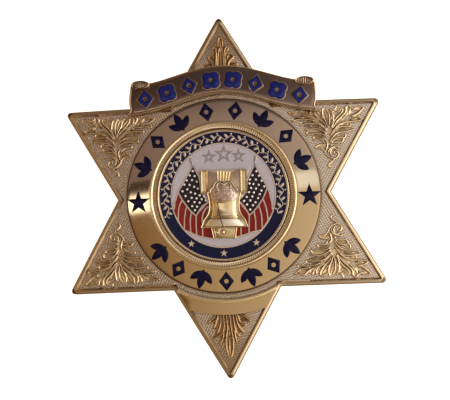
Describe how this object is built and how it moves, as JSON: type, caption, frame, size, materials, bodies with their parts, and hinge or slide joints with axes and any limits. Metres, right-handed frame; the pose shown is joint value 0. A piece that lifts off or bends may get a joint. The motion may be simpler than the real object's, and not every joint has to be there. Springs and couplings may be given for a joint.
{
  "type": "six-point star badge",
  "caption": "Domed gold star badge with raised leaf sprays, a ribbon over its top point, an enamelled round seal with a bell, and a pin behind.",
  "frame": {"origin": "on the surface that the badge lies on, below the middle of its box", "axes": "+Z out of the face, +Y to the top point, +X to the viewer's right"},
  "size_m": [0.0646, 0.0744, 0.008],
  "materials": {
    "star_gold": "polished, with a textured ground",
    "ribbon_gold": "polished",
    "rim_gold": "polished, reeded",
    "disc_gold": "polished",
    "bell_gold": "polished",
    "navy_enamel": "glossy enamel",
    "royal_enamel": "glossy enamel",
    "seal_blue": "glossy enamel",
    "seal_white": "glossy enamel",
    "seal_red": "glossy enamel",
    "pin_metal": "satin"
  },
  "bodies": {
    "root": {"star_body": "star_gold", "rank_banner": "ribbon_gold", "seal_rim": "rim_gold", "seal_disc": "disc_gold", "bell": "bell_gold", "ring_enamel": "navy_enamel", "banner_enamel": "royal_enamel", "seal_blue_enamel": "seal_blue", "seal_white_enamel": "seal_white", "seal_red_enamel": "seal_red", "pin_back": "pin_metal"}
  },
  "joints": []
}
